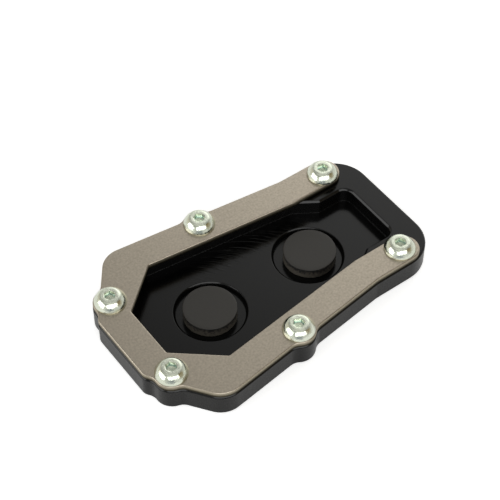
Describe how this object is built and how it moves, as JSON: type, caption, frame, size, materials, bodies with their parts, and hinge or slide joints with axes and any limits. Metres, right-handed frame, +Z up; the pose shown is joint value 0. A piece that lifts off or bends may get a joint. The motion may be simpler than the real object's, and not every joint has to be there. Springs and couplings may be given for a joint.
{
  "type": "kickstand pad",
  "caption": "Foot pad for a motorcycle side stand: black machined base with a pocket and rubber discs, and a U-shaped steel plate that clamps the stand's foot with button-head screws.",
  "frame": {"origin": "underside of the base, at the middle of its length and width", "axes": "+X along the length from the wide end to the neck end, +Y across, +Z up out of the pocket"},
  "size_m": [0.0974, 0.0608, 0.0122],
  "materials": {
    "black_anodised_aluminium": "black anodised over a fine milled surface",
    "stainless_sheet": "satin sheet, laser cut with tumbled edges",
    "zinc_plated_steel": "bright zinc plate",
    "black_rubber": "matt, punched from sheet"
  },
  "bodies": {
    "root": {"base": "black_anodised_aluminium", "clamp_plate": "stainless_sheet", "clamp_screws": "zinc_plated_steel", "wide_end_rubber_disc": "black_rubber", "neck_end_rubber_disc": "black_rubber"}
  },
  "joints": []
}
